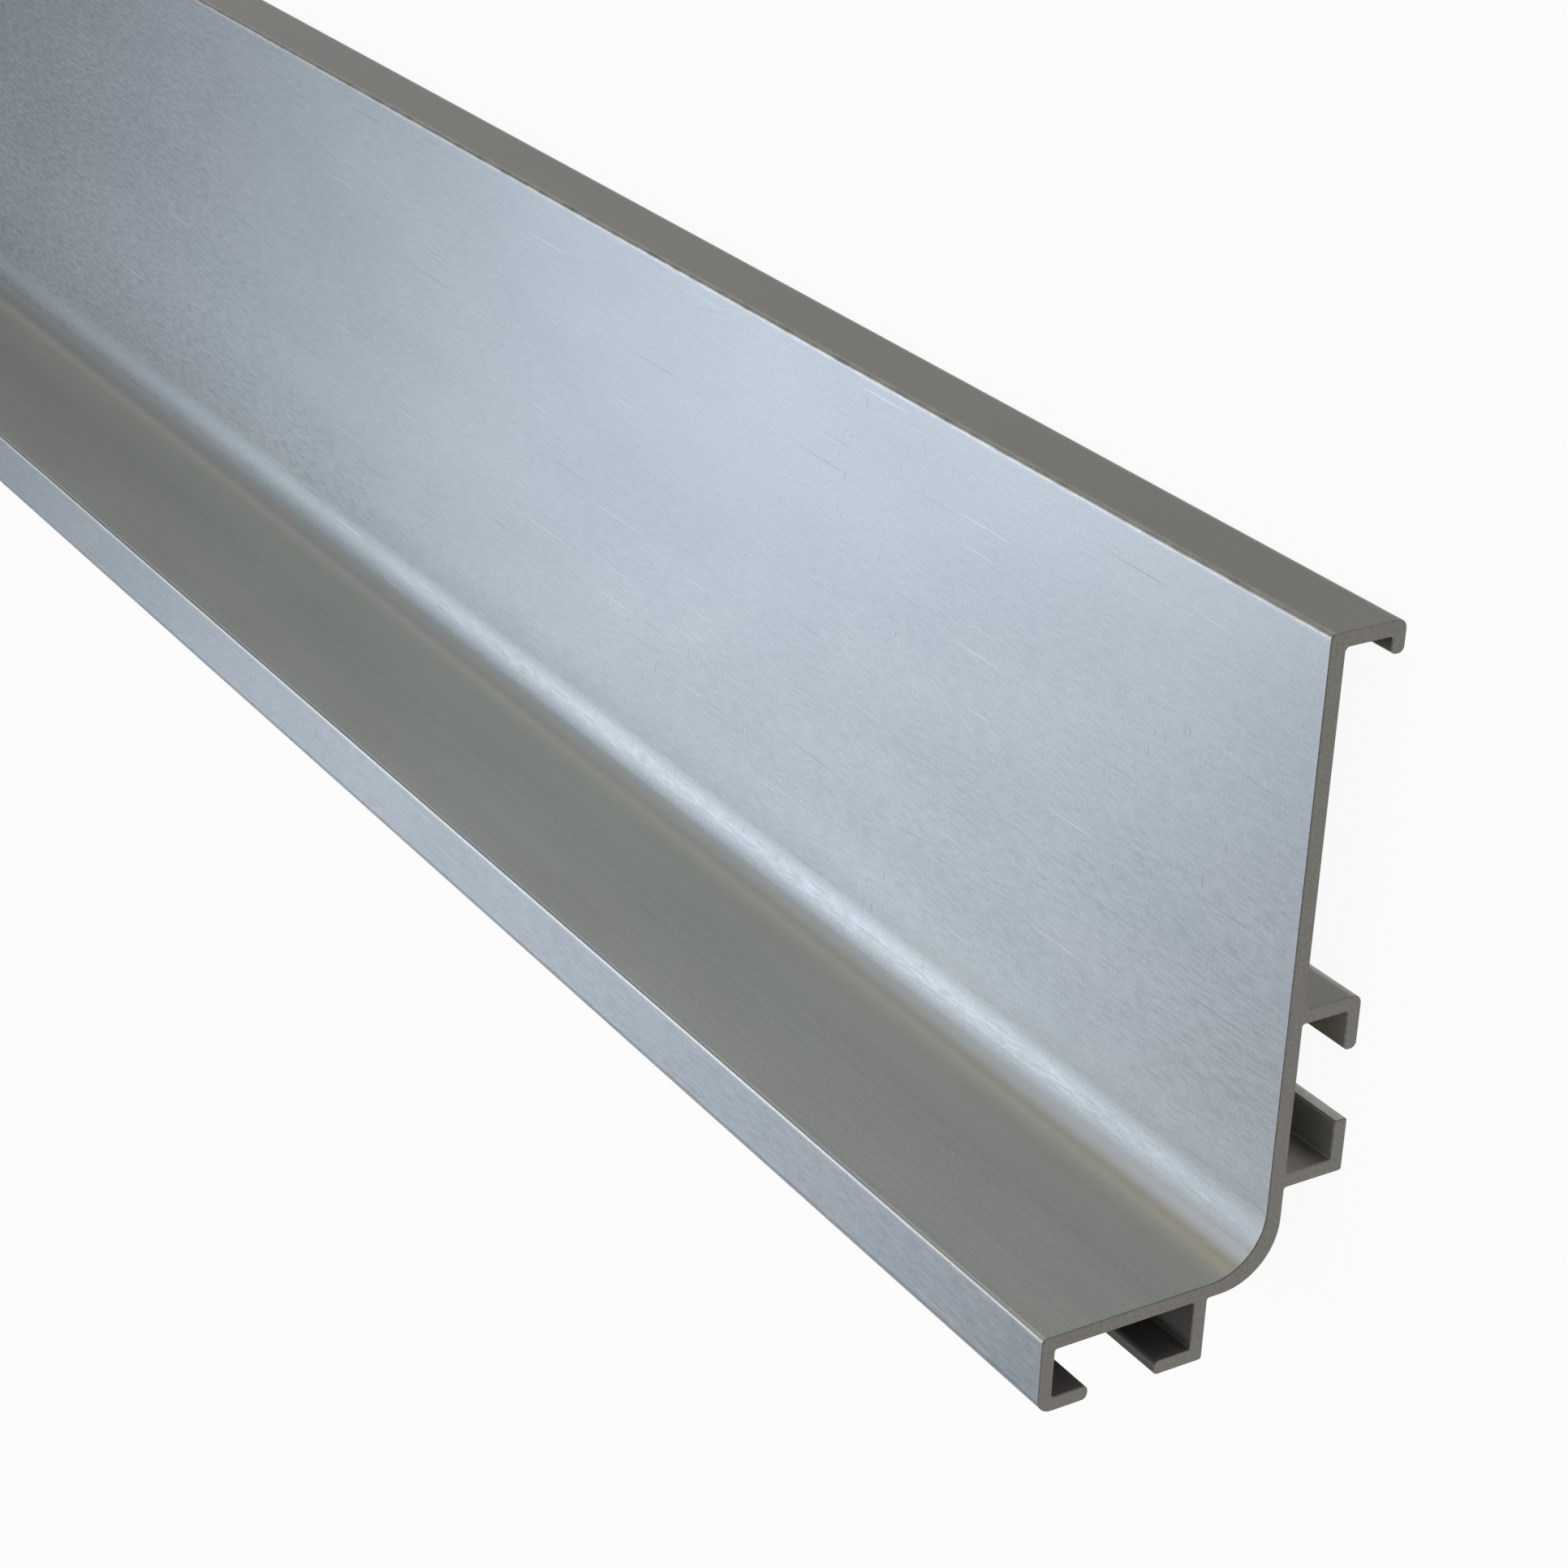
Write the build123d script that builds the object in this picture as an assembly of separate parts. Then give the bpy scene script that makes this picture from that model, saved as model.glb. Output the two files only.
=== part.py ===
from build123d import *
import os

# Handleless finger pull profile: one extruded aluminium bar, sawn square at both ends.
# It lies on its back, the way it rests on a level floor.
# X runs along the bar, Y across it from the foot to the head, Z up from the floor.
# Origin: middle of the bar's length and width, on the floor.

# Overall sizes, in millimetres
length = 1000.0
width = 57.0

# Walls
web_thickness = 1.4
wall_thickness = 1.2

# Finger recess, from the web's face to the outer face of the front lip
recess_depth = 19.6

# T slots, one behind the web and one under the shelf, both of one size
slot_inside_width = 12.4
slot_depth = 4.1
slot_mouth = 5.9
rear_slot_offset = 12.9

# Lip at the back of the head flange
head_lip_depth = 2.6

# Bend between the web and the shelf
bend_inner_radius = 4.6
bend_outer_radius = 4.9

# Edge and corner rounding
lip_corner_radius = 1.3
free_corner_radius = 0.85
face_edge_radius = 0.35
lip_end_radius = 0.5
crisp_corner_radius = 0.25
inside_corner_radius = 0.2
head_joint_radius = 0.4
rear_joint_radius = 0.6

# Levels above the floor
web_back = wall_thickness + slot_depth
web_face = web_back + web_thickness
front = web_face + recess_depth

# Levels across the bar
foot = -width / 2
head = width / 2
shelf_under = foot + wall_thickness + slot_depth
shelf_face = shelf_under + wall_thickness

# T slot walls
slot_outside_width = slot_inside_width + 2 * wall_thickness
slot_lip = wall_thickness + (slot_inside_width - slot_mouth) / 2
rear_low = foot + rear_slot_offset
rear_high = rear_low + slot_outside_width
bracket = front - slot_outside_width

# Corners of the section, each as (across, up, rounding), walked once round the bar
corners = [
    # front lip, shelf, bend and web, all on the finger side
    (foot, front, lip_corner_radius),
    (shelf_face, front, face_edge_radius),
    (shelf_face, web_face, bend_inner_radius),
    (head, web_face, face_edge_radius),
    # head flange with its short lip
    (head, 0, free_corner_radius),
    (head - head_lip_depth, 0, lip_end_radius),
    (head - head_lip_depth, wall_thickness, lip_end_radius),
    (head - wall_thickness, wall_thickness, inside_corner_radius),
    (head - wall_thickness, web_back, head_joint_radius),
    # upper hook of the rear slot
    (rear_high, web_back, rear_joint_radius),
    (rear_high, 0, free_corner_radius),
    (rear_high - slot_lip, 0, lip_end_radius),
    (rear_high - slot_lip, wall_thickness, lip_end_radius),
    (rear_high - wall_thickness, wall_thickness, inside_corner_radius),
    (rear_high - wall_thickness, web_back, inside_corner_radius),
    # lower hook of the rear slot
    (rear_low + wall_thickness, web_back, inside_corner_radius),
    (rear_low + wall_thickness, wall_thickness, inside_corner_radius),
    (rear_low + slot_lip, wall_thickness, crisp_corner_radius),
    (rear_low + slot_lip, 0, crisp_corner_radius),
    (rear_low, 0, crisp_corner_radius),
    (rear_low, web_back, inside_corner_radius),
    # outside of the bend
    (shelf_under, web_back, bend_outer_radius),
    # bracket under the shelf
    (shelf_under, bracket, inside_corner_radius),
    (foot, bracket, crisp_corner_radius),
    (foot, bracket + slot_lip, lip_end_radius),
    (foot + wall_thickness, bracket + slot_lip, lip_end_radius),
    (foot + wall_thickness, bracket + wall_thickness, inside_corner_radius),
    (shelf_under, bracket + wall_thickness, inside_corner_radius),
    # inside of the front lip and its return
    (shelf_under, front - wall_thickness, inside_corner_radius),
    (foot + wall_thickness, front - wall_thickness, inside_corner_radius),
    (foot + wall_thickness, front - slot_lip, lip_end_radius),
    (foot, front - slot_lip, lip_end_radius),
]


def rounded_section(points):
    """Closed outline through the points, with every corner rounded by its own radius."""
    outline = Polyline([(across, up) for across, up, radius in points], close=True)
    section = make_face(outline)
    for size in sorted({radius for across, up, radius in points}):
        spots = [Vector(across, up) for across, up, radius in points if radius == size]
        chosen = [section.vertices().sort_by_distance(spot)[0] for spot in spots]
        section = fillet(chosen, radius=size)
    return section


# The section is drawn across and up, then set at the far end and pushed along the bar
far_end = Plane(origin=(-length / 2, 0, 0), x_dir=(0, 1, 0), z_dir=(1, 0, 0))
pull_profile = extrude(far_end * rounded_section(corners), amount=length)

os.makedirs("parts", exist_ok=True)
export_step(pull_profile, "parts/pull_profile.step")
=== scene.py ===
import math

import bmesh
import bpy
from mathutils import Matrix, Vector


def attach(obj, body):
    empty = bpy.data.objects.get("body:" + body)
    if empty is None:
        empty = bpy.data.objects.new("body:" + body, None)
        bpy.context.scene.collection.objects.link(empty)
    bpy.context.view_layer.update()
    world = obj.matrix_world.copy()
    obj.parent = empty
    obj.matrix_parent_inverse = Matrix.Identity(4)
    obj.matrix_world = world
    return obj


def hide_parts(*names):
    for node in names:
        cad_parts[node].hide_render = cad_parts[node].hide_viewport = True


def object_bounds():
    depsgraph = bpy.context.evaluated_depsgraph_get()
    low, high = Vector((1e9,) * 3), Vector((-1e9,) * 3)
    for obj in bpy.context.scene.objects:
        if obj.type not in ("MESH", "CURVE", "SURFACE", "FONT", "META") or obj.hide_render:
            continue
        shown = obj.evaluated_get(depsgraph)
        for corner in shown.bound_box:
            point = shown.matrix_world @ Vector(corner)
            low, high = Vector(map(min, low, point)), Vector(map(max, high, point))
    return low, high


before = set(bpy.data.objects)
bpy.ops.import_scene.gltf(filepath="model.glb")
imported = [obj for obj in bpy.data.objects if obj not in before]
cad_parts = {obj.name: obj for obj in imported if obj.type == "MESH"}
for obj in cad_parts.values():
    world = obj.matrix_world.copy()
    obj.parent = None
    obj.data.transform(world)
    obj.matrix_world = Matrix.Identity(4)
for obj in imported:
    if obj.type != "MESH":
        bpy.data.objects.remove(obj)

# Handleless finger pull profile: one bar of extruded aluminium, brushed on its finger side,
# anodised, and sawn square at both ends. It lies on its back on a pale floor.
# X runs along the bar, Y across it from the foot to the head, Z up from the floor.

cad_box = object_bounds()
mm = 0.001

# Camera: at the end of the bar, looking back along it and down on its finger side

camera_place = Vector((0.67226, 0.12624, 0.16137))
camera_forward = Vector((-0.7561, -0.4355, -0.4885))
camera_right = Vector((0.5265, 0.0386, -0.8493))
camera_lens = 84.73
camera_sensor = 36.0
camera_near, camera_far = 0.01, 100.0


def set_camera():
    """Places the camera and makes it the one that the scene is seen through."""
    back = -camera_forward.normalized()
    up = back.cross(camera_right).normalized()
    right = up.cross(back)
    data = bpy.data.cameras.new("camera")
    data.lens = camera_lens
    data.sensor_width = camera_sensor
    data.clip_start = camera_near
    data.clip_end = camera_far
    camera = bpy.data.objects.new("camera", data)
    bpy.context.scene.collection.objects.link(camera)
    turned = Matrix((right, up, back)).transposed().to_4x4()
    camera.matrix_world = Matrix.Translation(camera_place) @ turned
    bpy.context.scene.camera = camera


set_camera()

# Sizes of the section, in millimetres

web_thickness = 1.4
wall_thickness = 1.2
recess_depth = 19.6
slot_inside_width = 12.4
slot_depth = 4.1
slot_mouth = 5.9
rear_slot_offset = 12.9
head_lip_depth = 2.6
bend_inner_radius = 4.6
bend_outer_radius = 4.9
lip_corner_radius = 1.3
free_corner_radius = 0.85
face_edge_radius = 0.35
lip_end_radius = 0.5
crisp_corner_radius = 0.25
inside_corner_radius = 0.2
head_joint_radius = 0.4
rear_joint_radius = 0.6

web_back = wall_thickness + slot_depth
web_face = web_back + web_thickness
front = web_face + recess_depth
foot = cad_box[0].y / mm
head = cad_box[1].y / mm
shelf_under = foot + wall_thickness + slot_depth
shelf_face = shelf_under + wall_thickness
slot_outside_width = slot_inside_width + 2 * wall_thickness
slot_lip = wall_thickness + (slot_inside_width - slot_mouth) / 2
rear_low = foot + rear_slot_offset
rear_high = rear_low + slot_outside_width
bracket = front - slot_outside_width

# Finishes, by their place in the bar's list of materials
brushed, satin, plain, rear_slot, sawn, brushed_lip, foot_slot = range(7)

# Places of the first corners in the walk round the section
lip_corner, lip_edge, bend, head_edge, flange_corner = range(5)

# The finish turns over halfway round a corner, except where the brushing belt ends: on the two
# edges of the finger side it barely rounds the corner, and it fades out in the bend
common_turnover = 0.5
turnovers = {lip_edge: 0.1, bend: 0.52, head_edge: 0.12}

# How much a corner is painted pale, at its start and at its end, most on the edges of the finger
# side: partly wear of the film, partly a painted highlight along the edge
common_rub_and_highlight = (0.4, 0.4)
rubs_and_highlights = {
    lip_corner: (0.6, 0.6),
    lip_edge: (1.2, 0.6),
    head_edge: (1.4, 0.2),
    flange_corner: (0.1, 0.1),
}

# Corners of the section, walked once round the bar with the metal on the right:
# across, up, rounding, and the finish of the face that follows
corners = [
    (foot, front, lip_corner_radius, brushed_lip),
    (shelf_face, front, face_edge_radius, satin),
    (shelf_face, web_face, bend_inner_radius, brushed),
    (head, web_face, face_edge_radius, plain),
    (head, 0, free_corner_radius, plain),
    (head - head_lip_depth, 0, lip_end_radius, plain),
    (head - head_lip_depth, wall_thickness, lip_end_radius, plain),
    (head - wall_thickness, wall_thickness, inside_corner_radius, plain),
    (head - wall_thickness, web_back, head_joint_radius, plain),
    (rear_high, web_back, rear_joint_radius, plain),
    (rear_high, 0, free_corner_radius, plain),
    (rear_high - slot_lip, 0, lip_end_radius, plain),
    (rear_high - slot_lip, wall_thickness, lip_end_radius, rear_slot),
    (rear_high - wall_thickness, wall_thickness, inside_corner_radius, rear_slot),
    (rear_high - wall_thickness, web_back, inside_corner_radius, rear_slot),
    (rear_low + wall_thickness, web_back, inside_corner_radius, rear_slot),
    (rear_low + wall_thickness, wall_thickness, inside_corner_radius, rear_slot),
    (rear_low + slot_lip, wall_thickness, crisp_corner_radius, plain),
    (rear_low + slot_lip, 0, crisp_corner_radius, plain),
    (rear_low, 0, crisp_corner_radius, plain),
    (rear_low, web_back, inside_corner_radius, plain),
    (shelf_under, web_back, bend_outer_radius, plain),
    (shelf_under, bracket, inside_corner_radius, plain),
    (foot, bracket, crisp_corner_radius, plain),
    (foot, bracket + slot_lip, lip_end_radius, foot_slot),
    (foot + wall_thickness, bracket + slot_lip, lip_end_radius, foot_slot),
    (foot + wall_thickness, bracket + wall_thickness, inside_corner_radius, foot_slot),
    (shelf_under, bracket + wall_thickness, inside_corner_radius, foot_slot),
    (shelf_under, front - wall_thickness, inside_corner_radius, foot_slot),
    (foot + wall_thickness, front - wall_thickness, inside_corner_radius, foot_slot),
    (foot + wall_thickness, front - slot_lip, lip_end_radius, plain),
    (foot, front - slot_lip, lip_end_radius, plain),
]

# How finely the mesh follows the section, and the edge that the saw leaves
arc_step = math.radians(6.0)
least_steps = 3
face_step = 1.5
edge_band = 0.25
saw_edge = 0.07

# Rings of points along the bar: place, and how far the section is drawn in there. The stretch
# from the second ring to the third is the bar itself, and the short ones are its sawn edges.
half_length = (cad_box[1].x - cad_box[0].x) / 2 / mm
rings = [
    (-half_length, saw_edge),
    (-half_length + saw_edge, 0),
    (half_length - saw_edge, 0),
    (half_length, saw_edge),
]
long_stretch = 1


def rounded_corner(index):
    """The points of one rounded corner, each with its outward direction, and 1 if it sticks out."""
    across, up, radius, finish = corners[index]
    corner = Vector((across, up))
    before = (Vector(corners[index - 1][:2]) - corner).normalized()
    after = (Vector(corners[(index + 1) % len(corners)][:2]) - corner).normalized()
    half_angle = before.angle(after) / 2
    middle = corner + (before + after).normalized() * radius / math.sin(half_angle)
    first_spoke = corner + before * radius / math.tan(half_angle) - middle
    side = 1 if before.x * after.y > before.y * after.x else -1
    turn = math.pi - 2 * half_angle
    steps = max(least_steps, round(turn / arc_step))
    arc = []
    for step in range(steps + 1):
        angle = -side * turn * step / steps
        spoke = Vector((
            first_spoke.x * math.cos(angle) - first_spoke.y * math.sin(angle),
            first_spoke.x * math.sin(angle) + first_spoke.y * math.cos(angle),
        ))
        arc.append((middle + spoke, spoke.normalized() * side))
    return arc, max(side, 0)


def walk_section():
    """Every point round the section: place, outward direction, finish up to the next, and its edge
    rub and painted highlight.
    """
    points = []
    arcs = [rounded_corner(index) for index in range(len(corners))]
    arc_starts = [arc[0][0] for arc, sticks_out in arcs]
    face_finishes = [finish for across, up, radius, finish in corners]
    for index, (arc, sticks_out) in enumerate(arcs):
        finish_before = face_finishes[index - 1]
        finish_after = face_finishes[index]
        turnover = turnovers.get(index, common_turnover)
        rub_and_highlight_start, rub_and_highlight_end = rubs_and_highlights.get(index, common_rub_and_highlight)
        for step, (place, outward) in enumerate(arc):
            share = step / (len(arc) - 1)
            finish = finish_before if share < turnover else finish_after
            rub_and_highlight = sticks_out * (rub_and_highlight_start + (rub_and_highlight_end - rub_and_highlight_start) * share)
            points.append((place, outward, finish, rub_and_highlight))
        place, outward = arc[-1]
        run = arc_starts[(index + 1) % len(arcs)] - place
        inner = run.length - 2 * edge_band
        if inner > edge_band:
            pieces = math.ceil(inner / face_step)
            for piece in range(pieces + 1):
                reach = edge_band + inner * piece / pieces
                points.append((place + run.normalized() * reach, outward, finish_after, 0))
    return points


def ring_mesh(points):
    """A mesh that joins the section's points from ring to ring, closed at both sawn ends."""
    count = len(points)
    build = bmesh.new()
    for along, drawn_in in rings:
        for place, outward, finish, rub_and_highlight in points:
            drawn = place - outward * drawn_in
            build.verts.new(Vector((along, drawn.x, drawn.y)) * mm)
    build.verts.ensure_lookup_table()
    last = (len(rings) - 1) * count
    caps = [
        build.faces.new([build.verts[spot] for spot in range(count)]),
        build.faces.new([build.verts[last + spot] for spot in reversed(range(count))]),
    ]
    for cap in caps:
        cap.material_index = sawn
    for ring in range(len(rings) - 1):
        for spot, (place, outward, finish, rub_and_highlight) in enumerate(points):
            here = ring * count + spot
            beside = ring * count + (spot + 1) % count
            wall = [here, here + count, beside + count, beside]
            face = build.faces.new([build.verts[vertex] for vertex in wall])
            face.material_index = finish if ring == long_stretch else sawn
    build.normal_update()
    bmesh.ops.triangulate(build, faces=caps)
    mesh = bpy.data.meshes.new("pull_profile_bar")
    build.to_mesh(mesh)
    build.free()
    return mesh


def mark_rubbed_and_highlighted_edges(mesh, points):
    """Gives every point of the mesh its edge rub and painted highlight, which the finishes read."""
    marks = mesh.attributes.new("edge_rub_and_highlight", "FLOAT", "POINT")
    for ring in range(len(rings)):
        for spot, (place, outward, finish, rub_and_highlight) in enumerate(points):
            marks.data[ring * len(points) + spot].value = rub_and_highlight


def unroll(mesh, points):
    """Lays a map on the mesh, round the bar and along it, and shades its rounded edges round."""
    count = len(points)
    places = [place for place, outward, finish, rub_and_highlight in points]
    walked = [0.0]
    for spot in range(count):
        step = places[(spot + 1) % count] - places[spot]
        walked.append(walked[-1] + step.length)
    unrolled = mesh.uv_layers.new(name="unrolled")
    normals = [None] * len(mesh.loops)
    for face in mesh.polygons:
        face.use_smooth = True
        vertices = [mesh.loops[loop].vertex_index for loop in face.loop_indices]
        spots = [vertex % count for vertex in vertices]
        # the face that closes the walk ends at the whole way round, not back at its start
        closes_walk = 0 in spots and count - 1 in spots
        sawn_end = math.copysign(1.0, face.center.x)
        for loop, vertex, spot in zip(face.loop_indices, vertices, spots):
            place, outward, finish, rub_and_highlight = points[spot]
            if face.material_index == sawn:
                normals[loop] = (sawn_end, 0.0, 0.0)
                unrolled.uv[loop].vector = place * mm
            else:
                normals[loop] = Vector((0.0, outward.x, outward.y)).normalized()
                round_bar = walked[count] if closes_walk and spot == 0 else walked[spot]
                along = mesh.vertices[vertex].co.x
                unrolled.uv[loop].vector = (round_bar * mm, along)
    mesh.normals_split_custom_set(normals)


def build_bar():
    """The bar as one closed mesh, with its edges marked, and mapped and shaded for its finishes."""
    points = walk_section()
    mesh = ring_mesh(points)
    mark_rubbed_and_highlighted_edges(mesh, points)
    unroll(mesh, points)
    bar = bpy.data.objects.new("pull_profile_bar", mesh)
    bpy.context.scene.collection.objects.link(bar)
    return bar


# Materials


def colour(hex_code):
    """The linear colour of an sRGB hex code such as #8090A0, by the sRGB curve."""
    values = []
    for start in (1, 3, 5):
        value = int(hex_code[start:start + 2], 16) / 255
        values.append(value / 12.92 if value <= 0.04045 else ((value + 0.055) / 1.055) ** 2.4)
    return (*values, 1.0)


def add(tree, kind, inputs=None, **settings):
    """Adds a node, sets what it is told, and gives each input its value or the socket it reads."""
    node = tree.nodes.new("ShaderNode" + kind)
    for name, value in settings.items():
        setattr(node, name, value)
    for name, value in (inputs or {}).items():
        if isinstance(value, bpy.types.NodeSocket):
            tree.links.new(value, node.inputs[name])
        else:
            node.inputs[name].default_value = value
    return node


def new_material(name):
    """An empty material: itself, its node tree, and the output node that a finish ends in."""
    material = bpy.data.materials.new(name)
    material.use_nodes = True
    tree = material.node_tree
    tree.nodes.clear()
    output = add(tree, "OutputMaterial")
    return material, tree, output


# Places of sockets that share a name: on Mix for colours, on Math and on Mix Shader
mix_share, mix_first, mix_second, mix_result = 0, 6, 7, 2
math_first, math_second = 0, 1
blend_share, blend_first, blend_second = 0, 1, 2

# Noise lies round 0.5: the two levels of it that become 0 and 1, and how detailed it is
soft_levels = (0.35, 0.65)
soft_detail = 2.0
crisp_detail = 0.0


def pattern(tree, place, grains, levels=soft_levels, detail=soft_detail):
    """Noise from 0 to 1 whose grains have a width and a length in millimetres, and a shift."""
    across, along, shift = grains
    low, high = levels
    scaled = add(tree, "Mapping", {
        "Vector": place,
        "Location": (shift, shift, 0.0),
        "Scale": (1 / (across * mm), 1 / (along * mm), 1.0),
    })
    noise = add(tree, "TexNoise", {
        "Vector": scaled.outputs["Vector"],
        "Scale": 1.0,
        "Detail": detail,
    }, noise_dimensions="2D")
    spread = add(tree, "MapRange", {
        "Value": noise.outputs["Fac"],
        "From Min": low,
        "From Max": high,
    })
    return spread.outputs["Result"]


# Every pattern below is the width and the length of its grains, across and along the bar in
# millimetres, and a shift in the noise, so that no two patterns fall together.

# Wear and painted highlight: the edges that stick out are paler, partly where the film is rubbed
# and partly as a painted highlight, here more and there less, in patches a few millimetres long
rub_and_highlight_patches = (1.4, 3.0, 2.3)
rub_and_highlight_levels = (0.05, 0.6)


def rubbed_and_highlighted_edges(tree, place, metal, rubbed_and_highlighted):
    """The metal's colour, paler in patches along its rounded outside edges: rubbed film and painted
    highlight.
    """
    edge = add(tree, "Attribute", attribute_name="edge_rub_and_highlight").outputs["Fac"]
    patches = pattern(tree, place, rub_and_highlight_patches, rub_and_highlight_levels)
    rub_and_highlight = add(tree, "Math", {
        math_first: edge,
        math_second: patches,
    }, operation="MULTIPLY", use_clamp=True)
    worn_and_highlighted = add(tree, "Mix", {
        mix_share: rub_and_highlight.outputs["Value"],
        mix_first: metal,
        mix_second: colour(rubbed_and_highlighted),
    }, data_type="RGBA")
    return worn_and_highlighted.outputs[mix_result]


# Brushed anodised aluminium: belts drag fine grit along the bar before it is anodised. It looks
# pale and slightly blue, with hair-fine streaks along the bar and a gleam that spreads across them.
# The grit leaves hairs of about 0.05 mm, drawn wider here so that they show, and fine specks.
# Handling has left a few thin scratches along the bar and short ticks across it; most are painted
# darker, as painted shade in their grooves, and a few paler.
brushed_pale = "#CED6DD"
brushed_deep = "#B9C3CB"
# the paler colour along its edges: partly rubbed film, partly a painted highlight
brushed_rub_and_highlight = "#D2DAE0"
brushed_scratch_painted_shade = "#B1B9C0"
brushed_nick = "#DCE2E7"
cloud_width, cloud_length = 10.0, 26.0
brush_hairs = (0.26, 1.9, 0.0)
brush_streaks = (0.6, 7.0, 3.7)
brush_specks = (0.3, 0.3, 6.2)
brush_clouds = (cloud_width, cloud_length, 8.1)
dark_scratches = (0.2, 14.0, 1.3)
pale_scratches = (0.2, 14.0, 7.7)
cross_ticks = (1.8, 0.25, 4.9)
ticked_patches = (26.0, 26.0, 0.4)
scratch_levels = (0.875, 0.91)
tick_levels = (0.84, 0.88)
ticked_levels = (0.6, 0.7)
streak_share = 0.2
speck_share = 0.4
cloud_share = 0.2
brushed_rough = 0.41
brushed_stretch = 0.86
# how unevenly the grit roughens the metal, and how deep it cuts: the lip is gone over more gently
web_rough_spread, web_brush_depth = 0.045, 0.0018
lip_rough_spread, lip_brush_depth = 0.02, 0.0006


def brushed_anodised_aluminium(name, rough_spread, brush_depth):
    """The brushed finish of the web and, more gently, of the front lip."""
    material, tree, output = new_material(name)
    place = add(tree, "UVMap", uv_map="unrolled").outputs["UV"]
    hairs = pattern(tree, place, brush_hairs)
    streaks = pattern(tree, place, brush_streaks)
    specks = pattern(tree, place, brush_specks)
    clouds = pattern(tree, place, brush_clouds)
    fine = add(tree, "Mix", {"Factor": streak_share, "A": hairs, "B": streaks})
    specked = add(tree, "Mix", {"Factor": speck_share, "A": fine.outputs["Result"], "B": specks})
    tone = add(tree, "Mix", {"Factor": cloud_share, "A": specked.outputs["Result"], "B": clouds})
    metal = add(tree, "Mix", {
        mix_share: tone.outputs["Result"],
        mix_first: colour(brushed_deep),
        mix_second: colour(brushed_pale),
    }, data_type="RGBA")
    scratches = pattern(tree, place, dark_scratches, scratch_levels, crisp_detail)
    nicks = pattern(tree, place, pale_scratches, scratch_levels, crisp_detail)
    ticks = pattern(tree, place, cross_ticks, tick_levels, crisp_detail)
    ticked = pattern(tree, place, ticked_patches, ticked_levels, crisp_detail)
    patchy_ticks = add(tree, "Math", {
        math_first: ticks,
        math_second: ticked,
    }, operation="MULTIPLY")
    marks = add(tree, "Math", {
        math_first: scratches,
        math_second: patchy_ticks.outputs["Value"],
    }, operation="MAXIMUM")
    marked = add(tree, "Mix", {
        mix_share: marks.outputs["Value"],
        mix_first: metal.outputs[mix_result],
        mix_second: colour(brushed_scratch_painted_shade),
    }, data_type="RGBA")
    nicked = add(tree, "Mix", {
        mix_share: nicks,
        mix_first: marked.outputs[mix_result],
        mix_second: colour(brushed_nick),
    }, data_type="RGBA")
    worn_and_highlighted = rubbed_and_highlighted_edges(tree, place, nicked.outputs[mix_result], brushed_rub_and_highlight)
    rough = add(tree, "MapRange", {
        "Value": fine.outputs["Result"],
        "To Min": brushed_rough - rough_spread,
        "To Max": brushed_rough + rough_spread,
    })
    bump = add(tree, "Bump", {
        "Height": specked.outputs["Result"],
        "Strength": 1.0,
        "Distance": brush_depth * mm,
    })
    tangent = add(tree, "Tangent", direction_type="UV_MAP", uv_map="unrolled")
    shader = add(tree, "BsdfPrincipled", {
        "Base Color": worn_and_highlighted,
        "Metallic": 1.0,
        "Roughness": rough.outputs["Result"],
        "Anisotropic": brushed_stretch,
        "Normal": bump.outputs["Normal"],
        "Tangent": tangent.outputs["Tangent"],
    })
    tree.links.new(shader.outputs["BSDF"], output.inputs["Surface"])
    return material


# Anodised aluminium as it leaves the die, etched matt: an even grain and faint die lines along
# the bar, both finer in the metal and drawn coarser here so that they show. The shelf inside the
# finger recess keeps a clear pale film. Towards the bend its colour is painted lighter, warmer and
# then bluer by height above the floor: painted light against the shade near the bend, and painted
# reflections of the warm band and the bluish sheen that the bend shows where the brushed side
# begins. The faces towards the cupboard are duller, and their colour is painted darker and greyer:
# painted shade for the shade and dark reflections they lie in. Inside the two slots the film is
# rougher, and its colour is painted paler, most of all in the rear one: painted light in these
# dark recesses.
shelf_pale = "#C8C4B9"
shelf_deep = "#B6B2A7"
# the paler colour along its edges: partly rubbed film, partly a painted highlight
shelf_rub_and_highlight = "#B7BBBE"
shelf_rough = 0.36
# painted light and painted reflections on the shelf towards the bend: colour, and the heights at
# which it starts and is full
bend_painted_light = [("#D3CEC2", 15.5, 11.0), ("#C9CBC9", 10.4, 9.2), ("#E6ECF5", 9.0, 8.1)]
bend_painted_light_share = 0.85
# painted shade: the faces towards the cupboard are painted darker than the metal is, for the shade
# and dark reflections they lie in
plain_pale_painted_shade = "#7B7975"
plain_deep_painted_shade = "#6D6B67"
# the paler colour along its edges: partly rubbed film, partly a painted highlight
plain_rub_and_highlight = "#C0BFBB"
plain_rough = 0.48
# painted light: inside the slots the colour is painted paler, to lift the shade in these recesses
rear_slot_pale_painted_light = "#A7A49C"
rear_slot_deep_painted_light = "#98958D"
foot_slot_pale_painted_light = "#8F8B88"
foot_slot_deep_painted_light = "#817D7A"
slot_rough = 0.6
etch_grain = (0.25, 0.25, 0.0)
die_lines = (0.8, 120.0, 5.3)
etched_clouds = (cloud_width, cloud_length, 1.9)
die_line_share = 0.3
etched_spread = 0.04
grain_depth = 0.002


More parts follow.
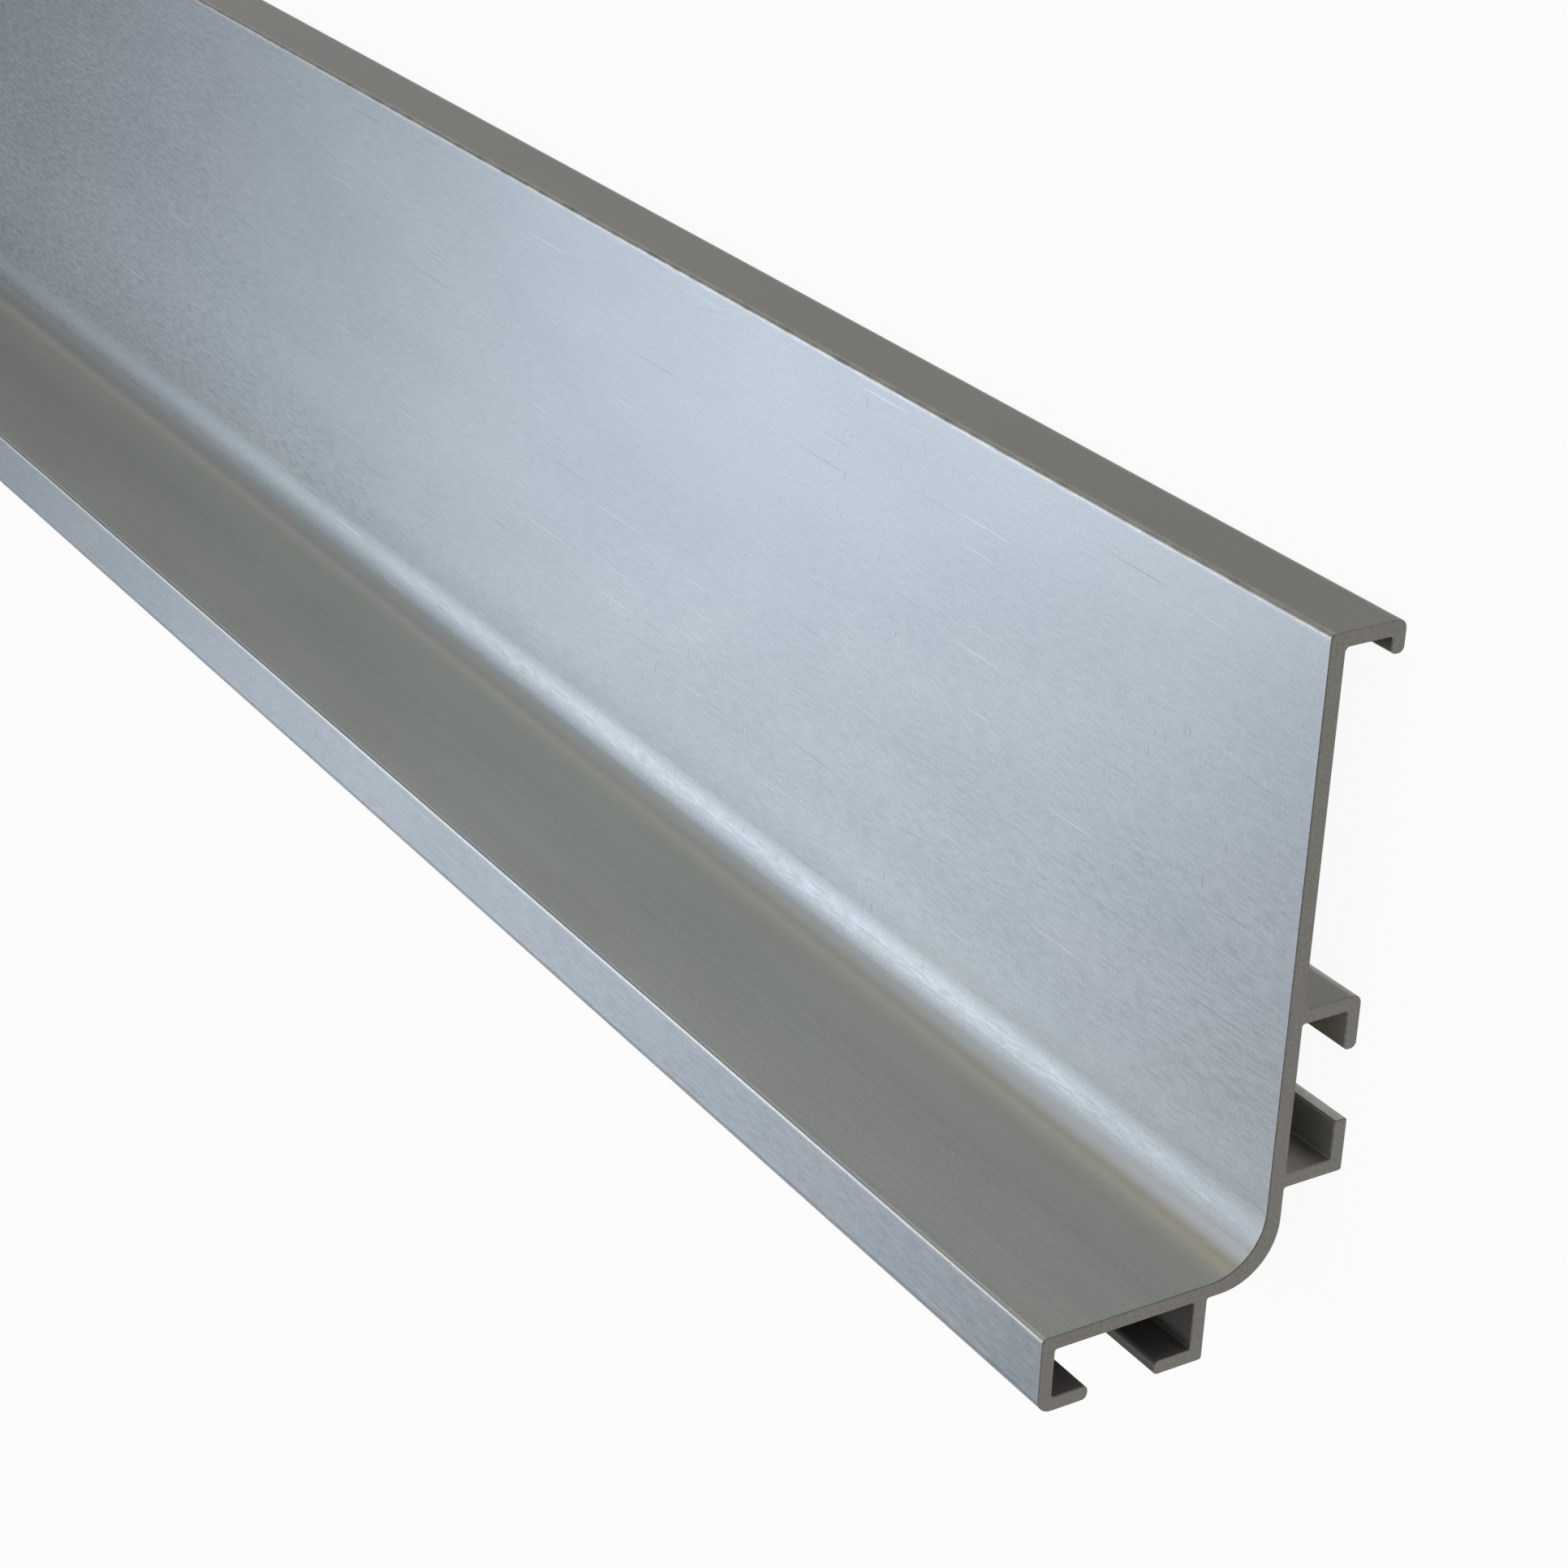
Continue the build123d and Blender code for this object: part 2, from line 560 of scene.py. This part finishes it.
def etched_anodised_aluminium(name, pale, deep, rubbed_and_highlighted, roughness, painted_light_tints=()):
    """An etched matt finish, with painted light and painted reflections by height above the floor
    where these painted tints are given.
    """
    material, tree, output = new_material(name)
    place = add(tree, "UVMap", uv_map="unrolled").outputs["UV"]
    grain = pattern(tree, place, etch_grain)
    lines = pattern(tree, place, die_lines)
    clouds = pattern(tree, place, etched_clouds)
    fine = add(tree, "Mix", {"Factor": die_line_share, "A": grain, "B": lines})
    tone = add(tree, "Mix", {"Factor": cloud_share, "A": fine.outputs["Result"], "B": clouds})
    metal = add(tree, "Mix", {
        mix_share: tone.outputs["Result"],
        mix_first: colour(deep),
        mix_second: colour(pale),
    }, data_type="RGBA")
    height = add(tree, "SeparateXYZ", {"Vector": add(tree, "TexCoord").outputs["Object"]})
    # painted light and painted reflections, blended in by height above the floor
    for tint, starts_at, full_at in painted_light_tints:
        share = add(tree, "MapRange", {
            "Value": height.outputs["Z"],
            "From Min": starts_at * mm,
            "From Max": full_at * mm,
            "To Max": bend_painted_light_share,
        })
        metal = add(tree, "Mix", {
            mix_share: share.outputs["Result"],
            mix_first: metal.outputs[mix_result],
            mix_second: colour(tint),
        }, data_type="RGBA")
    worn_and_highlighted = rubbed_and_highlighted_edges(tree, place, metal.outputs[mix_result], rubbed_and_highlighted)
    rough = add(tree, "MapRange", {
        "Value": fine.outputs["Result"],
        "To Min": roughness - etched_spread,
        "To Max": roughness + etched_spread,
    })
    bump = add(tree, "Bump", {
        "Height": fine.outputs["Result"],
        "Strength": 1.0,
        "Distance": grain_depth * mm,
    })
    shader = add(tree, "BsdfPrincipled", {
        "Base Color": worn_and_highlighted,
        "Metallic": 1.0,
        "Roughness": rough.outputs["Result"],
        "Normal": bump.outputs["Normal"],
    })
    tree.links.new(shader.outputs["BSDF"], output.inputs["Surface"])
    return material


# Bare aluminium from the saw: a dull grey face, crossed by fine slightly curved tooth marks. A
# fine blade leaves them closer together than this, and they are drawn coarser so that they show.
sawn_pale = "#83807A"
sawn_deep = "#72706A"
saw_grain = (0.3, 0.3, 0.0)
saw_grain_share = 0.5
tooth_mark_spacing = 0.22
tooth_mark_depth = 0.004
tooth_mark_waver, tooth_mark_waver_scale = 1.5, 0.2
# the middle of the blade: its distance, and its direction across and up from the bar
blade_radius = 150.0
blade_across, blade_up = 0.35, 0.93
sawn_rough = 0.45
# how far apart the rings of a wave pattern are at a scale of 1
wave_spacing = 2 * math.pi / 20


def sawn_aluminium():
    """The finish of both sawn ends."""
    material, tree, output = new_material("sawn_aluminium")
    place = add(tree, "UVMap", uv_map="unrolled").outputs["UV"]
    from_blade = add(tree, "Mapping", {
        "Vector": place,
        "Location": (blade_radius * blade_across * mm, blade_radius * blade_up * mm, 0.0),
    })
    marks = add(tree, "TexWave", {
        "Vector": from_blade.outputs["Vector"],
        "Scale": wave_spacing / (tooth_mark_spacing * mm),
        "Distortion": tooth_mark_waver,
        "Detail Scale": tooth_mark_waver_scale,
    }, wave_type="RINGS", rings_direction="SPHERICAL")
    grain = pattern(tree, place, saw_grain)
    tone = add(tree, "Mix", {"Factor": saw_grain_share, "A": marks.outputs["Fac"], "B": grain})
    metal = add(tree, "Mix", {
        mix_share: tone.outputs["Result"],
        mix_first: colour(sawn_deep),
        mix_second: colour(sawn_pale),
    }, data_type="RGBA")
    bump = add(tree, "Bump", {
        "Height": marks.outputs["Fac"],
        "Strength": 1.0,
        "Distance": tooth_mark_depth * mm,
    })
    shader = add(tree, "BsdfPrincipled", {
        "Base Color": metal.outputs[mix_result],
        "Metallic": 1.0,
        "Roughness": sawn_rough,
        "Normal": bump.outputs["Normal"],
    })
    tree.links.new(shader.outputs["BSDF"], output.inputs["Surface"])
    return material


bar = build_bar()
finishes = (
    brushed_anodised_aluminium("brushed_anodised_aluminium", web_rough_spread, web_brush_depth),
    etched_anodised_aluminium(
        "satin_anodised_aluminium", shelf_pale, shelf_deep, shelf_rub_and_highlight, shelf_rough, bend_painted_light
    ),
    etched_anodised_aluminium(
        "plain_anodised_aluminium", plain_pale_painted_shade, plain_deep_painted_shade, plain_rub_and_highlight, plain_rough
    ),
    etched_anodised_aluminium(
        "rear_slot_anodised_aluminium", rear_slot_pale_painted_light, rear_slot_deep_painted_light, rear_slot_pale_painted_light, slot_rough
    ),
    sawn_aluminium(),
    brushed_anodised_aluminium("brushed_lip_aluminium", lip_rough_spread, lip_brush_depth),
    etched_anodised_aluminium(
        "foot_slot_anodised_aluminium", foot_slot_pale_painted_light, foot_slot_deep_painted_light, foot_slot_pale_painted_light, slot_rough
    ),
)
for finish in finishes:
    bar.data.materials.append(finish)
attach(bar, "root")
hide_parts("pull_profile")

# Floor: matt pale board, which shows white to the camera and in the metal, and keeps the shadow
floor_size = 30.0
floor_colour = "#E9E9E7"
floor_white_share = 0.93
full_white = (1.0, 1.0, 1.0, 1.0)


def pale_floor():
    """Lays the floor board under the bar."""
    material, tree, output = new_material("pale_floor_board")
    board = add(tree, "BsdfDiffuse", {"Color": colour(floor_colour)})
    white = add(tree, "Emission", {"Color": full_white, "Strength": 1.0})
    ray = add(tree, "LightPath")
    seen = add(tree, "Math", {
        math_first: ray.outputs["Is Camera Ray"],
        math_second: ray.outputs["Is Glossy Ray"],
    }, operation="ADD")
    seen = add(tree, "Math", {
        math_first: seen.outputs["Value"],
        math_second: ray.outputs["Is Transmission Ray"],
    }, operation="ADD", use_clamp=True)
    share = add(tree, "Math", {
        math_first: seen.outputs["Value"],
        math_second: floor_white_share,
    }, operation="MULTIPLY")
    shader = add(tree, "MixShader", {
        blend_share: share.outputs["Value"],
        blend_first: board.outputs["BSDF"],
        blend_second: white.outputs["Emission"],
    })
    tree.links.new(shader.outputs["Shader"], output.inputs["Surface"])
    mesh = bpy.data.meshes.new("floor")
    build = bmesh.new()
    bmesh.ops.create_grid(build, x_segments=1, y_segments=1, size=floor_size / 2)
    build.to_mesh(mesh)
    build.free()
    mesh.materials.append(material)
    floor = bpy.data.objects.new("floor", mesh)
    bpy.context.scene.collection.objects.link(floor)


pale_floor()

# Lamps: soft boxes round the sawn end, each with its compass angle from the far end of the bar
# towards the foot side, its height angle, distance, width, height, brightness and tint
lamp_aim = Vector((0.4, 0.0, 0.0))
lamps = [
    ("window_box", 4.0, 43.0, 2.4, 1.0, 0.85, 3.22, "#F4F8FF"),
    ("low_glow", 8.0, 29.0, 2.4, 1.4, 0.45, 0.6, "#EDF7FF"),
    ("left_wall", -22.0, 44.0, 2.4, 0.7, 0.9, 0.85, "#FDFFFD"),
    ("side_wall", -60.0, 32.0, 2.4, 1.2, 1.0, 0.8, "#FFFDF7"),
    ("corner_glow", -29.0, 25.0, 2.4, 0.5, 0.5, 0.19, "#B6FFEE"),
    ("side_glow", -42.0, 8.0, 2.4, 1.3, 1.0, 0.27, "#FBF7FF"),
    ("warm_glow", -60.0, 3.0, 2.4, 0.8, 0.7, 0.5, "#FFEB79"),
    ("top_box", 200.0, 80.0, 2.4, 3.0, 3.0, 1.3, "#FFFFFF"),
    ("behind_box", 180.0, 36.0, 3.2, 2.6, 1.4, 1.4, "#FFFFFF"),
]
world_colour = "#FFFBF2"
world_strength = 0.1


def soft_box(name, round_angle, height_angle, distance, width, height, brightness, tint):
    """A lamp box that glows evenly at this brightness, turned to the near end of the bar."""
    flat = math.cos(math.radians(height_angle))
    towards = Vector((
        -math.cos(math.radians(round_angle)) * flat,
        -math.sin(math.radians(round_angle)) * flat,
        math.sin(math.radians(height_angle)),
    ))
    data = bpy.data.lights.new(name, "AREA")
    data.shape = "RECTANGLE"
    data.size = width
    data.size_y = height
    data.energy = brightness * math.pi * width * height
    data.color = colour(tint)[:3]
    lamp = bpy.data.objects.new(name, data)
    bpy.context.scene.collection.objects.link(lamp)
    lamp.location = lamp_aim + towards * distance
    lamp.rotation_euler = towards.to_track_quat("Z", "Y").to_euler()


for lamp in lamps:
    soft_box(*lamp)

world = bpy.data.worlds.new("studio")
world.use_nodes = True
world.node_tree.nodes["Background"].inputs["Color"].default_value = colour(world_colour)
world.node_tree.nodes["Background"].inputs["Strength"].default_value = world_strength
bpy.context.scene.world = world
bpy.context.scene.view_settings.view_transform = "Standard"
